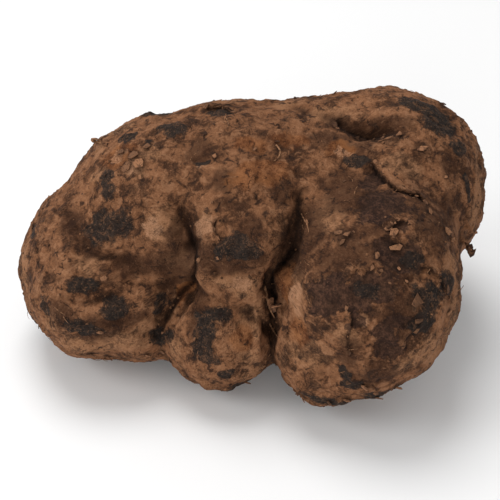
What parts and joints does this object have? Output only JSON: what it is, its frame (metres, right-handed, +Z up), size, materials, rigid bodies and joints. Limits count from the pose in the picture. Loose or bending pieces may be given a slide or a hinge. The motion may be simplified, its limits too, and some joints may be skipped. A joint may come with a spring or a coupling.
{
  "type": "purple yam",
  "caption": "Whole purple yam tuber: a broad lobed body with toe-like lobes at the front and rough corky bark, lying on its flattened underside.",
  "frame": {"origin": "on the surface the tuber rests on, under the middle of its box", "axes": "+X along the tuber's length to its right end, +Y to its back, away from the toe-like lobes, +Z up"},
  "size_m": [0.2378, 0.1718, 0.1254],
  "materials": {
    "bark": "rough dry corky bark with dark scabs and lighter rubbed patches"
  },
  "bodies": {
    "root": {"tuber": "bark"}
  },
  "joints": []
}
